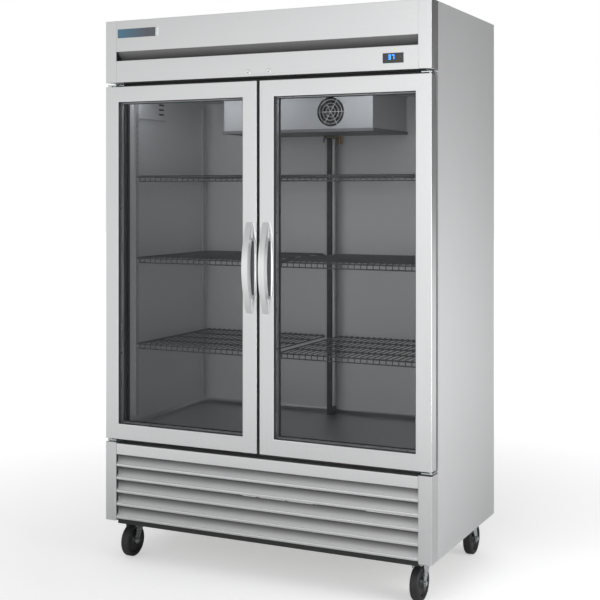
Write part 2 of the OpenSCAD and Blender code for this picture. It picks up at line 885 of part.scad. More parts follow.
// bow over a base plate that is widest at mid-height
module door_handle() {
    half = handle_len / 2;
    bow_w = 24;
    bow_t = 14;
    base_t = 5;
    base_half_w = 25;
    end_half_w = 12;
    grip = 113;
    bow_r = (half * half + handle_out * handle_out) / (2 * handle_out);
    taper = base_half_w - end_half_w;
    side_r = (half * half + taper * taper) / (2 * taper);
    color("silver") cab() translate([handle_x, 0, handle_z]) {
        along_x(-bow_w / 2, bow_w / 2) difference() {
            intersection() {
                translate([bow_r - handle_out, 0]) circle(bow_r, $fn = 180);
                translate([-handle_out - 1, -half]) square([handle_out + 1, handle_len]);
            }
            intersection() {
                translate([bow_r - handle_out, 0]) circle(bow_r - bow_t, $fn = 180);
                translate([-handle_out - 1, -grip]) square([handle_out + 1 - base_t, 2 * grip]);
            }
        }
        along_y(-base_t, 0) intersection() {
            translate([side_r - base_half_w, 0]) circle(side_r, $fn = 180);
            translate([base_half_w - side_r, 0]) circle(side_r, $fn = 180);
            translate([-base_half_w, -half + 12]) square([2 * base_half_w, handle_len - 24]);
        }
    }
}

module door_handle_right() { door_handle(); }
module door_handle_left() { mirror([1, 0, 0]) door_handle(); }

// ---------- casters ----------

// top plates with their bearing races, kingpins and bolts
module caster_plates() {
    top = caster_h;
    color(zinc) translate([0, y_shift, 0]) at_casters() {
        difference() {
            translate([-50, -42, top - plate_t]) cube([100, 84, plate_t]);
            bolt_holes(4.5, top - plate_t - 1, top + 1);
        }
        translate([0, 0, top - 16]) cylinder(h = 12, r = 26);
        translate([0, 0, top - 26]) cylinder(h = 12, r = kingpin_r);
        translate([0, 0, top - 26]) cylinder(h = 5, r = 11);
        bolt_holes(4, top - plate_t - 3, top + 8);
        for (sx = [-1, 1], sy = [-1, 1]) {
            translate([sx * bolt_x, sy * bolt_y, top - plate_t - 6.1]) cylinder(h = 6, r = 7, $fn = 6);
        }
    }
}

// side = -1 or 1 across the cabinet, row = 0 at the front and 1 at the back
module caster_at(side, row) { translate([side * caster_x, y_shift + caster_y[row], 0]) children(); }

function trail_y(row) = row == 0 ? -trail : trail;

// crown plate on the kingpin, two legs and the axle bolt between them
module caster_fork(side, row) {
    crown = [caster_h - 20.5, caster_h - 16.5];
    wheel_y = trail_y(row);
    foot = 13;
    head_x = hub_x + 1 + leg_t + 0.1;
    color(zinc) caster_at(side, row) {
        difference() {
            translate([-hub_x - 1 - leg_t, -26, crown[0]]) cube([2 * (hub_x + 1 + leg_t), 52, 4]);
            translate([0, 0, crown[0] - 1]) cylinder(h = 6, r = kingpin_r + running_gap);
        }
        both_sides() difference() {
            along_x(hub_x + 1, hub_x + 1 + leg_t) {
                polygon([[-26, crown[1]], [26, crown[1]], [26, crown[0] - 6],
                    [wheel_y + foot, axle_z], [wheel_y - foot, axle_z], [-26, crown[0] - 6]]);
                translate([wheel_y, axle_z]) circle(foot);
            }
            rod_x(hub_x, hub_x + 2 + leg_t, wheel_y, axle_z, axle_r + running_gap);
        }
        if (row == 0) both_sides() {
            pin_head_x = hub_x + 1 + leg_t + brake_t + 0.8;
            rod_x(hub_x + leg_t, pin_head_x + 1, brake_at[0], brake_at[1], brake_pin_r);
            rod_x(pin_head_x, pin_head_x + 1.7, brake_at[0], brake_at[1], 7);
        }
        rod_x(-head_x - 3, head_x + 3, wheel_y, axle_z, axle_r);
        both_sides() translate([head_x, wheel_y, axle_z]) rotate([0, 90, 0])
            cylinder(h = 6, r = 10, $fn = 6);
    }
}

module caster_fork_front_left() { caster_fork(-1, 0); }
module caster_fork_front_right() { caster_fork(1, 0); }
module caster_fork_rear_left() { caster_fork(-1, 1); }
module caster_fork_rear_right() { caster_fork(1, 1); }

// tyre and hub turned as one piece
module caster_wheel(side, row) {
    tyre_r = wheel_d / 2;
    bore_r = axle_r + running_gap;
    color(black) caster_at(side, row) translate([0, trail_y(row), axle_z]) rotate([0, 90, 0])
        rotate_extrude($fn = 96) polygon([[bore_r, -hub_x], [18, -hub_x], [20, -11], [46, -11],
            [49, -16.5], [58, -17.5], [tyre_r, -13], [tyre_r, 13], [58, 17.5], [49, 16.5], [46, 11],
            [20, 11], [18, hub_x], [bore_r, hub_x]]);
}

module caster_wheel_front_left() { caster_wheel(-1, 0); }
module caster_wheel_front_right() { caster_wheel(1, 0); }
module caster_wheel_rear_left() { caster_wheel(-1, 1); }
module caster_wheel_rear_right() { caster_wheel(1, 1); }

// pedal over the wheel, with two arms that turn on the stub pins outside the fork's legs
module caster_brake(side) {
    inside = hub_x + 1 + leg_t + 0.4;
    outside = inside + brake_t;
    pedal_z = caster_h - 20;
    color(zinc) caster_at(side, 0) {
        block([-outside, -66, pedal_z], [outside, -38, pedal_z + 3]);
        both_sides() difference() {
            union() {
                block([inside, -42, brake_at[1] - 6], [outside, brake_at[0] + 6, brake_at[1] + 6]);
                block([inside, -42, brake_at[1] - 6], [outside, -38, pedal_z + 3]);
            }
            rod_x(inside - 1, outside + 1, brake_at[0], brake_at[1], brake_pin_r + running_gap);
        }
    }
}

module caster_brake_left() { caster_brake(-1); }
module caster_brake_right() { caster_brake(1); }

side_panels();
top_panel();
back_panel();
insulation();
inner_liner();
cabinet_floor();
breaker_frame();
centre_mullion();
header_upper();
header_channel();
header_lower();
corner_trims();
name_plate();
display_module();
lock_housings();
lock_plug_left();
lock_plug_right();
light_switch();
grille_panel();
base_frame();
shelf_pilasters();
shelf_clips();
shelves_left();
shelves_right();
light_fixtures();
evaporator_coil();
evaporator_housing();
evaporator_fan_left();
evaporator_fan_right();
evaporator_fan_motors();
condensate_drain();
compressor();
condenser_coil();
condenser_shroud();
condenser_fan();
refrigerant_tubes();
rear_cover();
cord_gland();
hinge_brackets();
door_frame_left();
door_frame_right();
door_border_left();
door_border_right();
door_glass_left();
door_glass_right();
door_gasket_left();
door_gasket_right();
door_handle_left();
door_handle_right();
caster_plates();
caster_fork_front_left();
caster_fork_front_right();
caster_fork_rear_left();
caster_fork_rear_right();
caster_wheel_front_left();
caster_wheel_front_right();
caster_wheel_rear_left();
caster_wheel_rear_right();
caster_brake_left();
caster_brake_right();
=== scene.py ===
"""The looks of the two-door reach-in refrigerator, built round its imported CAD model."""

import json
import math

import bmesh
import bpy
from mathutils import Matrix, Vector

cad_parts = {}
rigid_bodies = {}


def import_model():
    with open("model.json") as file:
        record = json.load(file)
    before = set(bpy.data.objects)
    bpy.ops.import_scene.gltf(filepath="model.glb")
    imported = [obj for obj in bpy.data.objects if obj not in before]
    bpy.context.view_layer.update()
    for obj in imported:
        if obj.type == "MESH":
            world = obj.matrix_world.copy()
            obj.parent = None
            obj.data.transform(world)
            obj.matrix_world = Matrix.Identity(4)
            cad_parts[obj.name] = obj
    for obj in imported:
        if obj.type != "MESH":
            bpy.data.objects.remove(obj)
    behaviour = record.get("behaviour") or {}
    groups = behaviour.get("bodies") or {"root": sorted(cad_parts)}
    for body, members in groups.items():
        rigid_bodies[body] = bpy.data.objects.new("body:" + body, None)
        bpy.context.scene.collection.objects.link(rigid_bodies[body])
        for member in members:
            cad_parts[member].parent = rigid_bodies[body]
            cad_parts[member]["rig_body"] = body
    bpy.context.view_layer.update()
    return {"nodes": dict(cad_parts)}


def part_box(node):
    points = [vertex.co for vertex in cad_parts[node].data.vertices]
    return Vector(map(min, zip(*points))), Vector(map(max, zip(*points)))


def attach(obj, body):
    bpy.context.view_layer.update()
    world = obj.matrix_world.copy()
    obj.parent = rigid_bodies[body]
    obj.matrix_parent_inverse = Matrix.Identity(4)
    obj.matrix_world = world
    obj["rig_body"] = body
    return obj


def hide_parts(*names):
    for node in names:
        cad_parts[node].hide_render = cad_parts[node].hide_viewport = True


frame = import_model()
nodes = frame["nodes"]
scene = bpy.context.scene

MM = 0.001
WELD = 0.01 * MM
SIDES = ("left", "right")
CASTERS = ("front_left", "front_right", "rear_left", "rear_right")

LOUVRE_PITCH = 52  # from one louvre of the grille to the next, in millimetres

# the cabinet's frame: millimetres from its middle, its door faces and its lower edge
FACE_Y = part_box("header_upper")[0].y
BASE_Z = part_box("corner_trims")[0].z


def cab(x, y, z):
    """A point given in the cabinet's frame, in millimetres, as a point of the row frame."""
    return Vector((x * MM, FACE_Y + y * MM, BASE_Z + z * MM))


def cab_box(node):
    """A CAD node's lowest and highest corners in the cabinet's frame, in millimetres."""
    return [(p - cab(0, 0, 0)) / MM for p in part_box(node)]


# ---------- materials ----------

class Surface:
    """A procedural material round one Principled shader."""

    def __init__(self, name, **inputs):
        self.material = bpy.data.materials.new(name)
        self.material.use_nodes = True
        self.tree = self.material.node_tree
        self.shader = next(n for n in self.tree.nodes if n.type == "BSDF_PRINCIPLED")
        for key, value in inputs.items():
            socket = key.replace("_", " ").title().replace("Ior", "IOR")
            self.shader.inputs[socket].default_value = value
        self.place = self.tree.nodes.new("ShaderNodeTexCoord").outputs["Object"]

    def node(self, kind, inputs=(), **settings):
        made = self.tree.nodes.new(kind)
        for key, value in settings.items():
            setattr(made, key, value)
        for socket, value in dict(inputs).items():
            if isinstance(value, bpy.types.NodeSocket):
                self.tree.links.new(value, made.inputs[socket])
            else:
                made.inputs[socket].default_value = value
        return made

    def noise(self, stretch, detail=3.0):
        """Noise from about 0.25 to 0.75, drawn out along the axes with a small stretch."""
        mapped = self.node("ShaderNodeMapping", {"Vector": self.place, "Scale": stretch})
        made = self.node("ShaderNodeTexNoise",
                         {"Vector": mapped.outputs[0], "Scale": 1.0, "Detail": detail})
        return made.outputs["Fac"]

    def span(self, value, low, high, start=0.3, end=0.7):
        """value from start to end, brought to low to high."""
        made = self.node("ShaderNodeMapRange", {"Value": value, "From Min": start, "From Max": end,
                                                "To Min": low, "To Max": high})
        return made.outputs[0]

    def blend(self, factor, first, second):
        """first to second as factor goes from 0 to 1."""
        made = self.node("ShaderNodeMix", data_type="RGBA")
        factor_socket, first_socket, second_socket, result = 0, 6, 7, 2
        for index, value in ((factor_socket, factor), (first_socket, first), (second_socket, second)):
            if isinstance(value, bpy.types.NodeSocket):
                self.tree.links.new(value, made.inputs[index])
            else:
                made.inputs[index].default_value = value
        return made.outputs[result]

    def feed(self, socket, value):
        self.tree.links.new(value, self.shader.inputs[socket])
        return self

    def bump(self, height, strength, distance):
        made = self.node("ShaderNodeBump", {"Height": height, "Strength": strength, "Distance": distance})
        return self.feed("Normal", made.outputs[0])


def rgb(colour, factor=1.0):
    """An opaque colour, made darker or lighter by a factor."""
    return tuple(min(1, c * factor) for c in colour[:3]) + (1,)


def varied(name, colour, rough, fine, cloud=(2, 2, 2), shade=0.05, spread=0.05, bump=0.1,
           depth=0.05 * MM, **inputs):
    """A colour and a roughness that vary with a fine grain and with broad clouds."""
    made = Surface(name, **inputs)
    grain = made.noise(fine, detail=4)
    broad = made.noise(cloud, detail=2)
    light = made.blend(made.span(grain, 0, 1), rgb(colour, 1 - shade), rgb(colour, 1 + shade))
    made.feed("Base Color", made.blend(made.span(broad, 0, 0.5), light, rgb(colour, 1 - shade)))
    rough_grain = made.span(grain, rough - spread, rough + spread)
    total = made.node("ShaderNodeMath", {0: rough_grain, 1: made.span(broad, -spread / 2, spread / 2)},
                      operation="ADD")
    made.feed("Roughness", total.outputs[0])
    made.bump(grain, bump, depth)
    return made


def brushed(name, colour, along, rough=0.32, metallic=0.9, shade=0.02):
    """Sheet metal with its brush lines along x or z."""
    stretch = {"x": (3, 420, 420), "z": (420, 420, 3)}[along]
    return varied(name, colour, rough, stretch, shade=shade, spread=0.04, bump=0.05,
                  depth=0.02 * MM, metallic=metallic).material


def painted(name, colour, rough=0.45, **inputs):
    """Powder coat with its orange-peel skin."""
    return varied(name, colour, rough, (260, 260, 260), shade=0.06, spread=0.06, bump=0.25,
                  depth=0.05 * MM, **inputs).material


def moulded(name, colour, rough=0.5, **inputs):
    """Moulded plastic with a fine spark texture."""
    return varied(name, colour, rough, (1400, 1400, 1400), cloud=(6, 6, 6), shade=0.08, spread=0.06,
                  bump=0.3, depth=0.03 * MM, **inputs).material


def plated(name, colour, rough=0.25):
    """Bright plating that is a little cloudy."""
    return varied(name, colour, rough, (90, 90, 90), cloud=(30, 30, 30), shade=0.08, spread=0.08,
                  bump=0.08, depth=0.03 * MM, metallic=1.0).material


def name_plate_finish():
    """Dark gloss that goes from blue on the left to charcoal on the right."""
    lo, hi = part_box("name_plate")
    made = Surface("plate_blue", roughness=0.22, coat_weight=0.5)
    x = made.node("ShaderNodeSeparateXYZ", {"Vector": made.place}).outputs[0]
    across = made.span(x, 0, 1, lo.x, lo.x + 0.75 * (hi.x - lo.x))
    colour = made.blend(across, rgb((0.035, 0.16, 0.26)), rgb((0.07, 0.075, 0.09)))
    speckle = made.noise((900, 900, 900))
    made.feed("Base Color", made.blend(made.span(speckle, 0, 0.12), colour, rgb((0.2, 0.25, 0.3))))
    made.bump(speckle, 0.1, 0.02 * MM)
    return made.material


def glass_finish():
    """Clear glass, drawn with plain alpha, a little smeared."""
    made = Surface("clear_glass", base_color=rgb((0.02, 0.03, 0.03)), roughness=0.03, alpha=0.07,
                   ior=1.5)
    smear = made.noise((3, 3, 1.5), detail=4)
    made.feed("Roughness", made.span(smear, 0.02, 0.06))
    return made.material


def glowing(name, colour, strength, rough=0.4):
    """A lit lens or digit."""
    made = Surface(name, roughness=rough, emission_color=rgb(colour), emission_strength=strength)
    cloud = made.noise((60, 60, 60))
    made.feed("Base Color", made.blend(made.span(cloud, 0, 1), rgb(colour, 0.9), rgb(colour)))
    return made.material


def tyre_finish():
    """Black rubber, a little dusty in patches."""
    return varied("tyre_black", (0.022, 0.022, 0.023), 0.55, (300, 300, 300), cloud=(25, 25, 25),
                  shade=0.15, spread=0.08, bump=0.3, depth=0.08 * MM).material


def channel_painted_shade_finish():
    """Sheet in the header's slot with painted shade, darker towards its lower edge."""
    lo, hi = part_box("header_channel")
    made = Surface("dark_sheet", metallic=0.5, roughness=0.5)
    z = made.node("ShaderNodeSeparateXYZ", {"Vector": made.place}).outputs[2]
    upward = made.span(z, 0, 1, lo.z, hi.z)
    shade = made.blend(upward, rgb((0.14, 0.14, 0.14)), rgb((0.28, 0.28, 0.28)))
    streak = made.noise((3, 420, 420), detail=4)
    made.feed("Base Color", made.blend(made.span(streak, 0, 0.15), shade, rgb((0.3, 0.3, 0.3))))
    made.bump(streak, 0.1, 0.02 * MM)
    return made.material


def blade_painted_shade_finish():
    """Louvre sheet, grained, with a painted shade that darkens towards the lip of the next louvre above."""
    made = Surface("blade_sheet_painted_shade", metallic=0.45, roughness=0.45)
    z = made.node("ShaderNodeSeparateXYZ", {"Vector": made.place}).outputs[2]
    rise = made.node("ShaderNodeMath", {0: z, 1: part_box("grille_panel")[0].z}, operation="SUBTRACT")
    turn = made.node("ShaderNodeMath", {0: rise.outputs[0], 1: LOUVRE_PITCH * MM}, operation="MODULO")
    shade = made.span(turn.outputs[0], 1.0, 0.0, 20 * MM, 47 * MM)
    colour = made.blend(shade, rgb((0.22, 0.22, 0.225)), rgb((0.74, 0.745, 0.75)))
    grain = made.noise((260, 260, 260), detail=4)
    made.feed("Base Color", made.blend(made.span(grain, 0, 0.2), colour, rgb((0.5, 0.5, 0.5))))
    made.bump(grain, 0.2, 0.05 * MM)
    return made.material


STEEL = (0.72, 0.725, 0.73)
MATERIALS = {
    "stainless": brushed("stainless_upright", STEEL, "z"),
    "stainless_level": brushed("stainless_level", STEEL, "x"),
    # lighter, glossier copy of the steel: a painted highlight on the grille's lips and band
    "lip_steel_painted_highlight": brushed("lip_steel_painted_highlight", (0.8, 0.805, 0.81), "x", rough=0.24),
    # darker, duller copy of the front steel: a painted shade on the sides, top and back
    "side_sheet": brushed("side_sheet", (0.60, 0.605, 0.61), "z", rough=0.5, metallic=0.35),
    # louvre sheet with a painted shade between the louvres, darkest under each lip
    "blade_sheet_painted_shade": blade_painted_shade_finish(),
    "floor_sheet": brushed("floor_sheet", (0.55, 0.555, 0.56), "x", rough=0.4),
    "liner_sheet": brushed("liner_sheet", (0.64, 0.645, 0.655), "z", rough=0.5, metallic=0.35),
    "housing_sheet": brushed("housing_sheet", (0.55, 0.56, 0.57), "x", rough=0.45, metallic=0.5),
    "foam": varied("foam", (0.82, 0.74, 0.5), 0.9, (350, 350, 350), bump=0.5,
                   depth=0.3 * MM).material,
    "black_plastic": moulded("black_plastic", (0.02, 0.02, 0.021), 0.45),
    "grey_plastic": moulded("grey_plastic", (0.055, 0.056, 0.06), 0.5),
    "tray_plastic": moulded("tray_plastic", (0.2, 0.2, 0.21), 0.55),
    # sheet of the header's slot with a painted shade that darkens towards its lower edge
    "dark_sheet": channel_painted_shade_finish(),
    "plate_blue": name_plate_finish(),
    "display_black": moulded("display_black", (0.008, 0.008, 0.009), 0.18, coat_weight=0.6),
    "digits_blue": glowing("digits_blue", (0.03, 0.25, 1.0), 3.0),
    "marks_grey": moulded("marks_grey", (0.12, 0.12, 0.125), 0.4),
    "chrome": plated("chrome", (0.78, 0.78, 0.78), 0.14),
    "zinc": plated("zinc", (0.62, 0.67, 0.68), 0.28),
    "black_paint": painted("black_paint", (0.018, 0.018, 0.018), 0.42),
    "machine_black": painted("machine_black", (0.02, 0.02, 0.021), 0.3, coat_weight=0.3),
    "shelf_coat": painted("shelf_coat", (0.10, 0.10, 0.105), 0.4),
    "standard": painted("standard", (0.52, 0.52, 0.53), 0.4, metallic=0.5),
    "lens": glowing("lens_white", (0.92, 0.95, 1.0), 6.0, rough=0.35),
    "coil": brushed("coil_fins", (0.68, 0.69, 0.7), "z", rough=0.4),
    "copper": plated("copper", (0.72, 0.36, 0.18), 0.3),
    "glass": glass_finish(),
    "spacer": plated("spacer", (0.6, 0.61, 0.62), 0.35),
    "gasket": moulded("gasket_black", (0.016, 0.016, 0.017), 0.62),
    "handle": varied("handle_satin", (0.84, 0.845, 0.85), 0.34, (700, 700, 12), shade=0.02,
                     spread=0.03, bump=0.02, depth=0.02 * MM, metallic=0.75).material,
    "grip": moulded("grip_grey", (0.16, 0.16, 0.165), 0.5),
    "tyre": tyre_finish(),
    "hub": moulded("hub_black", (0.03, 0.03, 0.031), 0.4),
}


# ---------- mesh helpers ----------

def add_piece(name, bm, finish, body="cabinet", replaced=()):
    """Makes a mesh object of bm, in its finish, riding on a body."""
    bmesh.ops.remove_doubles(bm, verts=bm.verts, dist=WELD)
    bmesh.ops.dissolve_degenerate(bm, edges=bm.edges, dist=WELD)
    bmesh.ops.recalc_face_normals(bm, faces=bm.faces)
    mesh = bpy.data.meshes.new(name)
    bm.to_mesh(mesh)
    bm.free()
    mesh.materials.append(MATERIALS[finish])
    mesh.shade_smooth()
    mesh.set_sharp_from_angle(angle=math.radians(40))
    piece = bpy.data.objects.new(name, mesh)
    scene.collection.objects.link(piece)
    weighted = piece.modifiers.new("weighted_normals", "WEIGHTED_NORMAL")
    weighted.keep_sharp = True
    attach(piece, body)
    if replaced:
        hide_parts(*replaced)
    return piece


def loft(bm, sections, loop=False):
    """Skins a row of outlines; loop joins the last outline to the first, else both ends are closed."""
    rings = [[bm.verts.new(point) for point in section] for section in sections]
    count = len(rings[0])
    pairs = list(zip(rings, rings[1:]))
    if loop:
        pairs.append((rings[-1], rings[0]))
    for first, second in pairs:
        for i in range(count):
            j = (i + 1) % count
            bm.faces.new((first[i], first[j], second[j], second[i]))
    if not loop:
        bm.faces.new(rings[0])
        bm.faces.new(rings[-1][::-1])


def block(bm, lo, hi):
    """A box between two corners in the cabinet's frame."""
    corners = [(lo[0], lo[1]), (hi[0], lo[1]), (hi[0], hi[1]), (lo[0], hi[1])]
    loft(bm, [[cab(x, y, z) for x, y in corners] for z in (lo[2], hi[2])])


def prism(bm, outline, x0, x1):
    """An outline of (y, z) points carried along x."""
    loft(bm, [[cab(x, y, z) for y, z in outline] for x in (x0, x1)])


def around(axis, centre, r, h, angle):
    """The point at radius r, height h and an angle round an axis through centre."""
    c, s = r * math.cos(angle), r * math.sin(angle)
    offset = {"x": (h, c, s), "y": (c, h, s), "z": (c, s, h)}[axis]
    return Vector(centre) + MM * Vector(offset)


def lathe(bm, profile, centre, axis, steps=48):
    """A closed profile of (radius, height) points turned round an axis."""
    turns = [2 * math.pi * i / steps for i in range(steps)]
    loft(bm, [[around(axis, centre, r, h, turn) for r, h in profile] for turn in turns], loop=True)


def arc(centre, radius, start, end, steps=6):
    """Points on an arc in a plane, from one angle to another in degrees."""
    angles = [math.radians(start + (end - start) * i / steps) for i in range(steps + 1)]
    return [(centre[0] + radius * math.cos(a), centre[1] + radius * math.sin(a)) for a in angles]


def frame_ring(bm, profile, x, z):
    """A profile of (inset, y) points carried round a rectangle, with mitred corners."""
    corners = [(x[0], z[0], 1, 1), (x[1], z[0], -1, 1), (x[1], z[1], -1, -1), (x[0], z[1], 1, -1)]
    loft(bm, [[cab(cx + sx * inset, y, cz + sz * inset) for inset, y in profile]
              for cx, cz, sx, sz in corners], loop=True)


def rounded_path(points, radius, steps=4):
    """The path through points with its inner corners rounded."""
    path = [points[0]]
    for before, corner, after in zip(points, points[1:], points[2:]):
        back = (before - corner).normalized() * radius
        ahead = (after - corner).normalized() * radius
        for i in range(steps + 1):
            t = i / steps
            path.append(corner + back * (1 - t) ** 2 + ahead * t ** 2)
    return path + [points[-1]]


def sweep(bm, path, radius, sides=8, loop=False):
    """A round wire along a path."""
    across = None
    sections = []
    count = len(path)
    for i, point in enumerate(path):
        before = path[i - 1] if i or loop else point
        after = path[(i + 1) % count] if i < count - 1 or loop else point
        along = (after - before).normalized()
        across = along.orthogonal() if across is None else across - along * across.dot(along)
        across.normalize()
        other = along.cross(across)
        turns = [2 * math.pi * k / sides for k in range(sides)]
        sections.append([point + radius * (across * math.cos(t) + other * math.sin(t)) for t in turns])
    loft(bm, sections, loop)


def face_width(edge, face):
    """How far a face reaches from the line of one of its edges."""
    start = edge.verts[0].co
    along = (edge.verts[1].co - start).normalized()
    reach = [v.co - start for v in face.verts]
    return max((r - along * r.dot(along)).length for r in reach)


def sharp_edges(bm, degrees):
    """The edges whose two faces meet at more than an angle."""
    limit = math.radians(degrees)
    return [e for e in bm.edges if len(e.link_faces) == 2 and e.calc_face_angle(0) > limit]


def softened(node, fold, trim):
    """A CAD node's mesh with rounded folds between its broad faces and broken edges elsewhere."""
    bm = bmesh.new()
    bm.from_mesh(nodes[node].data)
    bmesh.ops.remove_doubles(bm, verts=bm.verts, dist=WELD)
    broad = [e for e in sharp_edges(bm, 60) if e.is_convex
             and min(face_width(e, f) for f in e.link_faces) > 4 * fold * MM]
    if fold and broad:
        bmesh.ops.bevel(bm, geom=broad, offset=fold * MM, segments=3, profile=0.5, affect="EDGES",
                        clamp_overlap=True)
    narrow = sharp_edges(bm, 50)
    if trim and narrow:
        bmesh.ops.bevel(bm, geom=narrow, offset=trim * MM, segments=1, profile=0.5, affect="EDGES",
                        clamp_overlap=True)
    return bm


def rear_screws(name, places):
    """Hexagon-washer screw heads at places in the cabinet's frame, facing the back."""
    radius = 4.5
    flange = [(0, 0), (radius, 0), (radius, 0.5), (radius * 0.85, 0.9), (0, 0.9)]
    head = [(0, 0.8), (radius * 0.66, 0.8), (radius * 0.66, 2.4), (radius * 0.55, 2.8), (0, 2.8)]
    bm = bmesh.new()
    for place in places:
        lathe(bm, flange, cab(*place), "y", 18)
        lathe(bm, head, cab(*place), "y", 6)
    add_piece(name, bm, "zinc")


# ---------- sheet metal and mouldings that keep their CAD shape ----------

# node: finish, radius of its folds and of its cut edges in millimetres
SOFTENED = {
    "side_panels": ("side_sheet", 1.3, 0.3), "top_panel": ("side_sheet", 0.6, 0.3),
    "back_panel": ("side_sheet", 0.6, 0.3), "breaker_frame": ("black_plastic", 1.2, 0.5),
    "centre_mullion": ("black_plastic", 2.5, 0.6), "header_upper": ("stainless_level", 1.4, 0.3),
    "header_lower": ("stainless_level", 1.4, 0.3), "corner_trims": ("stainless", 1.4, 0.3),
    "header_channel": ("dark_sheet", 0, 0.3), "base_frame": ("black_paint", 1.5, 0.5),
    "cabinet_floor": ("floor_sheet", 0.8, 0.3), "shelf_clips": ("standard", 1.2, 0.5),
    "light_fixtures": ("lens", 5, 1.0), "evaporator_fan_motors": ("dark_sheet", 1.5, 0.5),
    "condensate_drain": ("tray_plastic", 1.2, 0.4), "compressor": ("machine_black", 2.0, 0.6),
    "condenser_shroud": ("black_paint", 1.5, 0.4), "cord_gland": ("black_plastic", 0, 1.2),
    "hinge_brackets": ("zinc", 0.9, 0.4), "caster_plates": ("zinc", 0.9, 0.4),
    "light_switch": ("black_plastic", 1.2, 0.5), "lock_housings": ("chrome", 0, 0.5),
    "lock_plug_left": ("chrome", 0.4, 0.2), "lock_plug_right": ("chrome", 0.4, 0.2),
    "display_module": ("display_black", 1.2, 0.4),
}
for side in SIDES:
    SOFTENED["door_frame_" + side] = ("stainless", 1.8, 0.35)
    SOFTENED["door_border_" + side] = ("grey_plastic", 1.5, 0.6)
    SOFTENED["caster_brake_" + side] = ("zinc", 0.9, 0.4)
for place in CASTERS:
    SOFTENED["caster_fork_" + place] = ("zinc", 0.9, 0.5)

# CAD nodes that stay as they are, with their finish
KEPT = {
    "insulation": "foam", "inner_liner": "liner_sheet", "shelf_pilasters": "standard",
    "evaporator_coil": "coil", "evaporator_housing": "housing_sheet", "condenser_coil": "coil",
    "refrigerant_tubes": "copper", "rear_cover": "side_sheet", "door_glass_left": "glass",
    "door_glass_right": "glass",
}


def soften_nodes():
    """Replaces the nodes of SOFTENED with rounded copies."""
    for node, (finish, fold, trim) in SOFTENED.items():
        body = nodes[node]["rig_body"]
        add_piece("fine_" + node, softened(node, fold, trim), finish, body, [node])


def dress_kept_nodes():
    """Gives the nodes of KEPT their finish."""
    for node, finish in KEPT.items():
        mesh = nodes[node].data
        mesh.materials.clear()
        mesh.materials.append(MATERIALS[finish])


# ---------- header ----------

def name_plate():
    """Plain plate with a raised rim and a bright bar at its right-hand end."""
    lo, hi = cab_box("name_plate")
    bar_x = hi.x - 10
    plate_x = (lo.x, bar_x - 1)
    plate = bmesh.new()
    rim = [(0, -0.2), (0, -2.0), (0.5, -2.5), (1.6, -2.5), (2.0, -2.1), (2.0, -0.2)]
    frame_ring(plate, rim, plate_x, (lo.z, hi.z))
    block(plate, (plate_x[0] + 1, -2.2, lo.z + 1), (plate_x[1] - 1, 0, hi.z - 1))
    add_piece("plain_name_plate", plate, "plate_blue", replaced=["name_plate"])
    bar = bmesh.new()
    outline = [(0, lo.z)] + arc((-1.5, lo.z + 2), 2, -90, -180, 4) \
        + arc((-1.5, hi.z - 2), 2, 180, 90, 4) + [(0, hi.z)]
    prism(bar, outline, bar_x, hi.x)
    add_piece("name_plate_bar", bar, "chrome")


def header_painted_shade_blocks():
    """Black plates at the ends of the header's slot and black strips behind the gaps over and under the
    doors, as painted shade in the slot's ends and in the gaps.
    """
    lo, hi = cab_box("header_channel")
    front, thick, gap = 2.0, 1.2, 0.3
    floor, roof = lo.z + 2.0, hi.z - 3.2
    bm = bmesh.new()
    # black end plates of the slot: a painted shade where the slot's ends fall dark
    wedge = [(front, floor), (hi.y - 4.5, floor), (lo.y - 0.5, roof), (front, roof)]
    for x in (lo.x + gap, hi.x - gap - thick):
        prism(bm, wedge, x, x + thick)
    low, high = cab_box("breaker_frame")
    header = cab_box("header_lower")[0].z
    over, under, clear = (62, 73.8), (68.5, 80), 0.1
    # black strips behind the gaps over and under the doors: a painted shade in the gaps
    block(bm, (low.x, over[0], high.z + clear), (high.x, over[1], header + 6))
    block(bm, (low.x, under[0], low.z - 5), (high.x, under[1], low.z - clear))
    add_piece("header_slot_end_and_gap_shade", bm, "black_plastic")


# which of the seven segments are lit: top, middle, bottom, upper and lower left, upper and lower right
SEGMENTS = {"3": (1, 1, 1, 0, 0, 1, 1), "7": (1, 0, 0, 0, 0, 1, 1)}


def display():
    """Blue digits and small key marks on the display's window."""
    lo, hi = cab_box("display_module")
    wide, high, stroke, gap = 9.5, 17.0, 2.6, 4.0
    depth = (-1.35, -0.9)
    digits_middle, row = 0.41, 0.60  # shares of the window's width and height
    left = lo.x + digits_middle * (hi.x - lo.x) - wide - gap / 2
    low = lo.z + row * (hi.z - lo.z) - high / 2
    digits = bmesh.new()
    for index, digit in enumerate("37"):
        x = left + index * (wide + gap)
        flat = [low + high - stroke, low + (high - stroke) / 2, low]
        tall = [(x, low + high / 2), (x, low), (x + wide - stroke, low + high / 2), (x + wide - stroke, low)]
        lit = SEGMENTS[digit]
        for z in [z for z, on in zip(flat, lit[:3]) if on]:
            block(digits, (x + 0.5, depth[0], z), (x + wide - 0.5, depth[1], z + stroke))
        for sx, sz in [place for place, on in zip(tall, lit[3:]) if on]:
            block(digits, (sx, depth[0], sz + 0.7), (sx + stroke, depth[1], sz + high / 2 - 0.7))
    add_piece("display_digits", digits, "digits_blue")
    marks = bmesh.new()
    keys = [(0.78, row, 2.6), (0.88, row, 2.6)]
    dots = [(x, 0.24, 1.2) for x in (0.70, 0.80, 0.90)]
    for x, z, r in keys + dots:
        centre = cab(lo.x + x * (hi.x - lo.x), -1, lo.z + z * (hi.z - lo.z))
        lathe(marks, [(r, 0), (r, -0.3), (r * 0.7, -0.3), (r * 0.7, 0)], centre, "y", 20)
    add_piece("display_key_marks", marks, "marks_grey")


# ---------- grille ----------

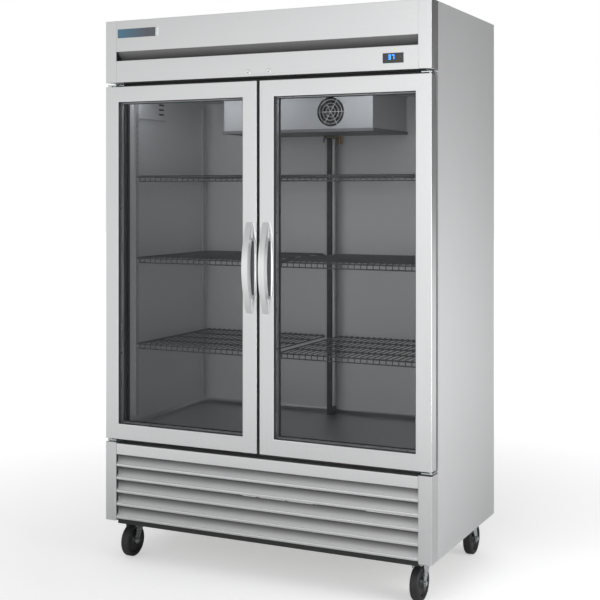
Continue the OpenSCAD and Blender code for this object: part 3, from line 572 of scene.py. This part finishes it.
def strip(line, thickness):
    """The outline of a bent strip of sheet that follows a line of (y, z) points on its outer side."""
    inner = []
    for i, point in enumerate(line):
        before, after = line[max(i - 1, 0)], line[min(i + 1, len(line) - 1)]
        dy, dz = after[0] - before[0], after[1] - before[1]
        length = math.hypot(dy, dz)
        inner.append((point[0] + thickness * dz / length, point[1] - thickness * dy / length))
    return line + inner[::-1]


def grille():
    """Louvres with rolled lips, the flat band above them and the plates that hold them; lips and band are in
    a lighter copy of the steel as a painted highlight, and the blades carry a painted shade.
    """
    lo, hi = cab_box("grille_panel")
    count, lip, rise, nose, sheet = 5, 14, 31, 5, 1.5
    lips, blades = bmesh.new(), bmesh.new()
    for i in range(count):
        z = lo.z + i * LOUVRE_PITCH
        rolled = [(10, z)] + arc((nose, z + nose), nose, -90, -180, 6) \
            + arc((nose, z + lip - nose), nose, 180, 125, 6)
        prism(lips, strip(rolled, sheet), lo.x, hi.x)
        top = rolled[-1]
        slope = [(top[0] + 0.4, top[1] - 0.2), (rise, z + lip + rise - 2)]
        prism(blades, strip(slope, sheet), lo.x, hi.x)
    band = lo.z + count * LOUVRE_PITCH - 3
    fold = 1.8
    line = [(8, band)] + arc((fold, band + fold), fold, -90, -180, 4) \
        + arc((fold, hi.z - fold), fold, 180, 90, 4) + [(58, hi.z)]
    prism(lips, strip(line, sheet), lo.x, hi.x)
    ends, dividers = (lo.x, hi.x - sheet), (-hi.x / 3 - sheet, hi.x / 3)
    for x, front in [(ends[0], 12), (dividers[0], 32), (dividers[1], 32), (ends[1], 12)]:
        block(blades, (x, front, lo.z), (x + sheet, 56, hi.z - 2))
    add_piece("grille_lips_and_band", lips, "lip_steel_painted_highlight", replaced=["grille_panel"])
    add_piece("grille_blades", blades, "blade_sheet_painted_shade")


# ---------- doors ----------

GRIP = 113.0  # half the height of the opening behind the handle's bow
GRIP_BASE = 4.5  # thickness of the base plate behind the opening


def handle_bow(half, out, z):
    """How far the handle's front stands out at a height from its middle."""
    radius = (half ** 2 + out ** 2) / (2 * out)
    return math.sqrt(radius ** 2 - z ** 2) - (radius - out)


def handle_half_width(half, z):
    """Half the width of the handle's base plate at a height from its middle."""
    middle, end = 26.5, 12
    return middle - (middle - end) * abs(z / half) ** 3


def handle_levels(half, out, z):
    """The handle's section at a height: half its width and its depth at four levels, front to back."""
    front, strap, least_bow, ramp = 12.0, 15.0, 2.0, 2.2
    spread, merged = 0.45, 1 / 3  # how far the strap has widened at its back, open and closed
    bow = max(handle_bow(half, out, z), least_bow)
    wide = handle_half_width(half, z)
    close = math.sqrt(max(0, 1 - (z / GRIP) ** 2)) if abs(z) < GRIP else 0
    opening = min(1, close * ramp)
    mid = (bow + GRIP_BASE) / 2
    depths = [bow, mid + (bow - strap - mid) * opening, mid + (GRIP_BASE - mid) * opening, 0]
    flank = (0, spread * opening + (1 - opening) * merged, 0.8, 1)
    return [(front + (wide - front) * share, depth) for share, depth in zip(flank, depths)]


def handle(side):
    """Bow that widens towards a lens-shaped base, with an opening for the fingers behind it."""
    lo, hi = cab_box("door_handle_" + side)
    middle_x, middle_z, half = (lo.x + hi.x) / 2, (lo.z + hi.z) / 2, (hi.z - lo.z) / 2
    steps = 48
    shares = [math.sin(math.pi / 2 * i / steps) for i in range(-steps, steps + 1)]
    heights = sorted({round(half * share, 3) for share in shares} | {GRIP * share for share in shares})
    bm = bmesh.new()
    columns = []
    for z in heights:
        levels_here = handle_levels(half, -lo.y, z)
        columns.append([[bm.verts.new(cab(middle_x + way * w, -d, middle_z + z)) for w, d in levels_here]
                        for way in (-1, 1)])
    for (a, b), low, high in zip(zip(columns, columns[1:]), heights, heights[1:]):
        open_here = -GRIP - WELD <= low and high <= GRIP + WELD
        for level in range(3):
            if open_here and level == 1:
                continue
            for way in (0, 1):
                bm.faces.new((a[way][level], a[way][level + 1], b[way][level + 1], b[way][level]))
        for level in (0, 3) + ((1, 2) if open_here else ()):
            bm.faces.new((a[0][level], a[1][level], b[1][level], b[0][level]))
    for left, right in (columns[0], columns[-1]):
        for level in range(3):
            bm.faces.new((left[level], left[level + 1], right[level + 1], right[level]))
    bmesh.ops.remove_doubles(bm, verts=bm.verts, dist=WELD)
    bmesh.ops.dissolve_degenerate(bm, edges=bm.edges, dist=WELD)
    bmesh.ops.recalc_face_normals(bm, faces=bm.faces)
    bmesh.ops.bevel(bm, geom=sharp_edges(bm, 45), offset=1.3 * MM, segments=3, profile=0.5,
                    affect="EDGES", clamp_overlap=True)
    add_piece("bow_handle_" + side, bm, "handle", "door_" + side, ["door_handle_" + side])
    grip_insert(side, middle_x, middle_z)


def grip_insert(side, middle_x, middle_z):
    """Dark rounded plate on the base behind the bow."""
    wide, corner, sunk, proud = 20.5, 6.0, 0.5, 0.6
    edge = arc((wide - corner, -GRIP + corner), corner, -90, 0, 5) \
        + arc((wide - corner, GRIP - corner), corner, 0, 90, 5)
    points = edge + [(-x, z) for x, z in edge[::-1]]
    bm = bmesh.new()
    loft(bm, [[cab(middle_x + x, y, middle_z + z) for x, z in points]
              for y in (-GRIP_BASE + sunk, -GRIP_BASE - proud)])
    add_piece("handle_grip_insert_" + side, bm, "grip", "door_" + side)


def door_trim(side):
    """Dark liner of the window's reveal, the glass pack's spacer and the gasket."""
    body = "door_" + side
    glass_lo, glass_hi = cab_box("door_glass_" + side)
    lap = 8
    x, z = (glass_lo.x + lap, glass_hi.x - lap), (glass_lo.z + lap, glass_hi.z - lap)
    reveal = bmesh.new()
    liner = [(-0.2, 0.9), (0.3, 0.5), (0.9, 0.9), (1.0, 11.0), (3.0, 12.2), (3.0, 12.9), (-0.2, 12.9)]
    frame_ring(reveal, liner, x, z)
    add_piece("window_reveal_" + side, reveal, "grey_plastic", body)
    spacer = bmesh.new()
    frame_ring(spacer, [(-3, 17.2), (5, 17.2), (6, 18.5), (6, 31.5), (5, 32.8), (-3, 32.8)], x, z)
    add_piece("pane_spacer_" + side, spacer, "spacer", body)
    lo, hi = cab_box("door_gasket_" + side)
    inner_folds = [(0, 0), (0, 2), (2.5, 3.5), (1, 6), (2.5, 9), (1.2, 12)]
    outer_folds = [(12.8, 12), (11.5, 9), (13, 6), (11.5, 3.5), (14, 2), (14, 0)]
    bellows = [(inset, lo.y + y) for inset, y in inner_folds] \
        + arc((2.2, hi.y - 2), 2, 180, 90, 4) + arc((11.8, hi.y - 2), 2, 90, 0, 4) \
        + [(inset, lo.y + y) for inset, y in outer_folds]
    gasket = bmesh.new()
    frame_ring(gasket, bellows, (lo.x, hi.x), (lo.z, hi.z))
    add_piece("magnetic_gasket_" + side, gasket, "gasket", body, ["door_gasket_" + side])


# ---------- shelves ----------

def levels(node, gap=50):
    """The heights of the tops of a node's separate layers."""
    heights = sorted({round((v.co.z - BASE_Z) / MM, 1) for v in nodes[node].data.vertices})
    return [z for z, above in zip(heights, heights[1:] + [math.inf]) if above - z > gap]


def wire_shelves(side):
    """Coated wire shelves with a dropped front lip."""
    lo, hi = cab_box("shelves_" + side)
    bm = bmesh.new()
    wire, rail, lip, drop, inset, spacing = 1.9, 3.0, 2.4, 24, 20, 25
    x0, x1, y0, y1 = lo.x + rail, hi.x - rail, lo.y + rail, hi.y - rail
    length = hi.x - lo.x - 2 * inset
    for top in levels("shelves_" + side):
        rail_z, wire_z = top - 2 * wire - rail, top - wire
        corners = [(x0, y0 + 2), (x1, y0 + 2), (x1, y1), (x0, y1)]
        ring = [cab(x, y, rail_z) for x, y in corners]
        middle = (ring[0] + ring[1]) / 2
        loop = rounded_path([middle] + ring[1:] + [ring[0], middle], 12 * MM)
        sweep(bm, loop[:-1], rail * MM, loop=True)
        for share in (0.25, 0.5, 0.75):
            y = y0 + share * (y1 - y0)
            sweep(bm, [cab(x0, y, rail_z), cab(x1, y, rail_z)], rail * MM)
        sweep(bm, [cab(lo.x + inset, y0, top - drop), cab(hi.x - inset, y0, top - drop)], lip * MM)
        count = round(length / spacing)
        for i in range(count + 1):
            x = lo.x + inset + length * i / count
            points = [cab(x, y1 + 2, wire_z), cab(x, y0, wire_z), cab(x, y0, top - drop)]
            sweep(bm, rounded_path(points, 5 * MM, 3), wire * MM, sides=6)
    add_piece("wire_shelves_" + side, bm, "shelf_coat", replaced=["shelves_" + side])


def sensor_cover():
    """Cover of the air sensor on the left wall, near the ceiling, with black bars as painted shade for its
    slots.
    """
    lo, hi = cab_box("inner_liner")
    wall, top = lo.x + 1.6, hi.z - 7
    y0, y1, tall, deep, slope = 142, 338, 90, 9, 4
    slot_y, slot_end, slot_high, first_slot, slot_pitch = 289, 327, 7, 28, 20
    cover, slots = bmesh.new(), bmesh.new()
    corners = [(y0, top - tall), (y1, top - tall), (y1, top), (y0, top)]
    inner = [(y0 + slope, top - tall + slope), (y1 - slope, top - tall + slope),
             (y1 - slope, top - slope), (y0 + slope, top - slope)]
    loft(cover, [[cab(wall + x, y, z) for y, z in outline]
                 for x, outline in ((0, corners), (deep - 3, corners), (deep, inner))])
    # black bars in place of the slots' openings: a painted shade
    for i in range(3):
        z = top - first_slot - slot_pitch * i
        block(slots, (wall + deep - 1, slot_y, z), (wall + deep + 0.3, slot_end, z + slot_high))
    add_piece("sensor_cover", cover, "liner_sheet")
    add_piece("sensor_cover_slot_shade", slots, "black_plastic")


# ---------- fans ----------

def fan(name, node, body):
    """Axial fan with a domed hub and blades that twist and widen outwards."""
    lo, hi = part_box(node)
    centre = (lo + hi) / 2
    radius, depth = (hi.x - lo.x) / 2 / MM, (hi.y - lo.y) / MM
    front, back = -depth / 2, depth / 2
    blades, steps, hub = 5, 8, radius * 0.26
    root, tip, tip_cut, swept = hub * 0.9, radius * 0.985, 0.82, 0.35
    root_pitch, twist = 52, 30  # degrees
    root_chord, widening = 0.34, 0.26  # shares of the radius
    section = ((-0.5, 0), (-0.2, 1.6), (0.2, 1.6), (0.5, 0), (0.2, -0.2), (-0.2, -0.2))
    bm = bmesh.new()
    profile = [(0, back), (hub, back), (hub, front + 4), (hub * 0.8, front + 1), (0, front)]
    lathe(bm, profile, centre, "y", 32)
    for blade in range(blades):
        sections = []
        for step in range(steps + 1):
            share = step / steps
            r = root + (tip - root) * share
            pitch = math.radians(root_pitch - twist * share)
            chord = radius * (root_chord + widening * share) * (1 if step < steps else tip_cut)
            lead = 2 * math.pi * blade / blades + swept * share
            ring = []
            for along, off in section:
                turn = lead + along * chord * math.cos(pitch) / r
                height = along * chord * math.sin(pitch) + off
                ring.append(around("y", centre, r, max(front, min(back, height)), turn))
            sections.append(ring)
        loft(bm, sections)
    add_piece(name, bm, "black_plastic", body, [node])


# ---------- casters ----------

def caster_wheel(place):
    """Rubber tread on a dished hub."""
    node = "caster_wheel_" + place
    body = "wheel_" + place
    lo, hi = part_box(node)
    centre = (lo + hi) / 2
    radius, round_off, inner = (hi.z - lo.z) / 2 / MM, 5, 48
    shoulder = radius - round_off
    tread = [(inner, -15.5)] + arc((55, -10.5), 7, -120, -60, 3) \
        + arc((shoulder, -10), round_off, -45, 0, 5) + arc((shoulder, 10), round_off, 0, 45, 5) \
        + arc((55, 10.5), 7, 60, 120, 3) + [(inner, 15.5)]
    tyre = bmesh.new()
    lathe(tyre, tread, centre, "x", 96)
    add_piece("tyre_" + place, tyre, "tyre", body, [node])
    half = [(6.1, 17.6), (16, 17.6), (17.5, 16.5), (19.5, 11.5), (23, 9), (42, 8), (45, 10.5), (47, 14),
            (48.5, 14.2)]
    hub = bmesh.new()
    lathe(hub, half + [(r, -h) for r, h in half[::-1]], centre, "x", 72)
    add_piece("hub_" + place, hub, "hub", body)


# ---------- back ----------

def rear_louvre_hoods():
    """Pressed hoods over the slots of the rear cover, and its screws."""
    lo, hi = cab_box("rear_cover")
    y = hi.y - 0.2
    deep, tall, half_wide, sheet = 6, 10, 62, 1
    column_pitch, row_pitch, first_row, screw_margin = 170, 20, 40, 12
    turns = [math.pi / 2 * k / 5 for k in range(6)]
    section = [(deep * math.cos(turn), tall * math.sin(turn)) for turn in turns]
    bm = bmesh.new()
    for column in range(-3, 4):
        x = column * column_pitch
        for row in range(10):
            z = lo.z + first_row + row * row_pitch
            outer = [(y + a, z + b) for a, b in section]
            inner = [(y + a * 0.8, z + b * 0.9) for a, b in section[::-1]]
            prism(bm, outer + inner, x - half_wide, x + half_wide)
            for end in (x - half_wide, x + half_wide - sheet):
                prism(bm, [(y, z)] + outer, end, end + sheet)
    add_piece("rear_louvre_hoods", bm, "side_sheet")
    screws = [(x, hi.y, z) for x in (-640, -300, 0, 300, 640)
              for z in (lo.z + screw_margin, hi.z - screw_margin)]
    rear_screws("rear_cover_screws", screws)


def panel_screws():
    """Screws along the edges of the back panel."""
    lo, hi = cab_box("back_panel")
    margin, top_margin = 16, 14
    back = [(x, hi.y, z) for x in (lo.x + margin, hi.x - margin) for z in range(360, 1960, 200)]
    back += [(x, hi.y, hi.z - top_margin) for x in range(-510, 511, 170)]
    rear_screws("back_panel_screws", back)


# ---------- studio ----------

def studio():
    """World, floor and two soft lamps."""
    world_light()
    bm = bmesh.new()
    bmesh.ops.create_grid(bm, x_segments=1, y_segments=1, size=30)
    mesh = bpy.data.meshes.new("floor")
    bm.to_mesh(mesh)
    bm.free()
    mesh.materials.append(pale_floor())
    floor = bpy.data.objects.new("floor", mesh)
    scene.collection.objects.link(floor)
    lamp("key", (1.6, -5.4, 2.2), 3.0, 60)
    lamp("side", (1.95, -0.5, 0.95), 1.1, 15)


def pale_floor():
    """Pale floor with a soft shadow, which fades into the white background away from the machine."""
    pale = Surface("pale_floor", base_color=(0.85, 0.85, 0.85, 1), roughness=0.8)
    distance = pale.node("ShaderNodeVectorMath", {0: pale.place}, operation="LENGTH").outputs["Value"]
    glow = pale.span(distance, 0.45, 1.0, 1.0, 5.0)
    bounce = pale.span(distance, 0.0, 0.5, 1.2, 4.0)
    seen = pale.node("ShaderNodeLightPath").outputs["Is Camera Ray"]
    shown = pale.node("ShaderNodeMath", {0: glow, 1: seen}, operation="MULTIPLY").outputs[0]
    total = pale.node("ShaderNodeMath", {0: shown, 1: bounce}, operation="MAXIMUM")
    pale.shader.inputs["Emission Color"].default_value = (1, 1, 1, 1)
    return pale.feed("Emission Strength", total.outputs[0]).material


def world_light():
    """White to the camera; to everything else dimmer at both sides, at the back, above and below."""
    world = bpy.data.worlds.new("studio")
    scene.world = world
    world.use_nodes = True
    tree = world.node_tree
    background = tree.nodes["Background"]
    background.inputs["Color"].default_value = (1, 1, 1, 1)
    axes = tree.nodes.new("ShaderNodeSeparateXYZ")
    tree.links.new(tree.nodes.new("ShaderNodeTexCoord").outputs["Generated"], axes.inputs[0])
    across = world_range(tree, axes.outputs["X"], (-0.6, -0.36), (0.85, 1.38))
    behind = world_range(tree, axes.outputs["Y"], (0.55, 0.85), (1.0, 0.08))
    height = world_math(tree, "ABSOLUTE", axes.outputs["Z"])
    level = world_range(tree, height, (0.07, 0.3), (1.0, 0.42))
    right = world_range(tree, axes.outputs["X"], (0.0, 0.7), (1.0, 0.3))
    product = level
    for factor in (across, behind, right):
        product = world_math(tree, "MULTIPLY", product, factor)
    seen = tree.nodes.new("ShaderNodeLightPath").outputs["Is Camera Ray"]
    tree.links.new(world_math(tree, "MAXIMUM", product, seen), background.inputs["Strength"])


def world_math(tree, operation, *values):
    """A sum, product or other operation on the world shader's values."""
    made = tree.nodes.new("ShaderNodeMath")
    made.operation = operation
    for value, socket in zip(values, made.inputs):
        tree.links.new(value, socket)
    return made.outputs[0]


def world_range(tree, value, source, target):
    """value brought from the range of source to the range of target."""
    made = tree.nodes.new("ShaderNodeMapRange")
    tree.links.new(value, made.inputs["Value"])
    for socket, number in zip(("From Min", "From Max", "To Min", "To Max"), source + target):
        made.inputs[socket].default_value = number
    return made.outputs[0]


def lamp(name, place, size, power):
    """A square soft box that faces the middle of the machine."""
    middle = Vector((0, 0, 1.1))
    data = bpy.data.lights.new(name, "AREA")
    data.shape = "SQUARE"
    data.size = size
    data.energy = power
    made = bpy.data.objects.new(name, data)
    made.location = place
    aim = middle - Vector(place)
    made.rotation_euler = aim.to_track_quat("-Z", "Y").to_euler()
    scene.collection.objects.link(made)


def camera():
    """The photograph's viewing angle."""
    data = bpy.data.cameras.new("camera")
    data.sensor_width = 36
    data.lens = 71.6
    data.shift_y = -0.184
    made = bpy.data.objects.new("camera", data)
    made.location = (2.0852, -4.3258, 1.4756)
    made.rotation_euler = (math.radians(90), 0, math.radians(25.7))
    scene.collection.objects.link(made)
    scene.camera = made


camera()
studio()
scene.view_settings.view_transform = "Standard"
dress_kept_nodes()
soften_nodes()
name_plate()
header_painted_shade_blocks()
display()
grille()
for side in SIDES:
    handle(side)
    door_trim(side)
    wire_shelves(side)
    fan("evaporator_fan_blades_" + side, "evaporator_fan_" + side, "evaporator_fan_" + side)
fan("condenser_fan_blades", "condenser_fan", "condenser_fan")
for place in CASTERS:
    caster_wheel(place)
sensor_cover()
rear_louvre_hoods()
panel_screws()
